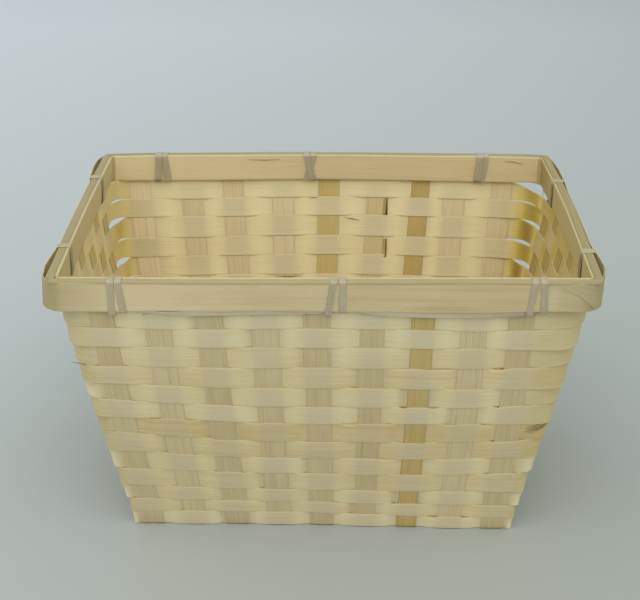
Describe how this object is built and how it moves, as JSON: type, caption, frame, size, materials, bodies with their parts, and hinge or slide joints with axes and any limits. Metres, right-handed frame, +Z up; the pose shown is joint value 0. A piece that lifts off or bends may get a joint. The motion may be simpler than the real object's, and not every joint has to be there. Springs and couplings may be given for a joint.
{
  "type": "rectangular woven bamboo basket",
  "caption": "Open rectangular tapered basket plaited from flat bamboo splints, with a banded and lashed rim, for gathering mushrooms.",
  "frame": {"origin": "on the floor under the middle of the basket", "axes": "+X along the long side to the viewer's right, -Y towards the pictured front, +Z up"},
  "size_m": [0.3, 0.206, 0.1809],
  "materials": {
    "weaver": "smooth split bamboo, pale cream-yellow",
    "stake": "ribbed split bamboo, dull tan",
    "golden_stake": "ribbed split bamboo, golden brown",
    "band": "planed bamboo band, fine lengthwise grain",
    "lashing": "soaked cane strip, dull grey-green"
  },
  "bodies": {
    "root": {"weaver_row_00": "weaver", "weaver_row_01": "weaver", "weaver_row_02": "weaver", "weaver_row_03": "weaver", "weaver_row_04": "weaver", "weaver_row_05": "weaver", "weaver_row_06": "weaver", "weaver_row_07": "weaver", "weaver_row_08": "weaver", "weaver_row_09": "weaver", "weaver_row_10": "weaver", "weaver_row_11": "weaver", "weaver_row_12": "weaver", "weaver_row_13": "weaver", "stake_long_1": "stake", "stake_long_2": "stake", "stake_long_3": "stake", "stake_long_4": "stake", "stake_long_5": "stake", "stake_long_6": "stake", "stake_long_7": "golden_stake", "stake_long_8": "stake", "stake_long_9": "stake", "stake_cross_1": "stake", "stake_cross_2": "stake", "stake_cross_3": "stake", "stake_cross_4": "stake", "stake_cross_5": "stake", "stake_cross_6": "stake", "rim_band_outer": "band", "rim_band_inner": "band", "rim_cap_front": "band", "rim_cap_right": "band", "rim_cap_back": "band", "rim_cap_left": "band", "rim_tie_front_1": "lashing", "rim_tie_front_2": "lashing", "rim_tie_front_3": "lashing", "rim_tie_right_1": "lashing", "rim_tie_right_2": "lashing", "rim_tie_back_1": "lashing", "rim_tie_back_2": "lashing", "rim_tie_back_3": "lashing", "rim_tie_left_1": "lashing", "rim_tie_left_2": "lashing", "rim_lasher": "lashing"}
  },
  "joints": []
}
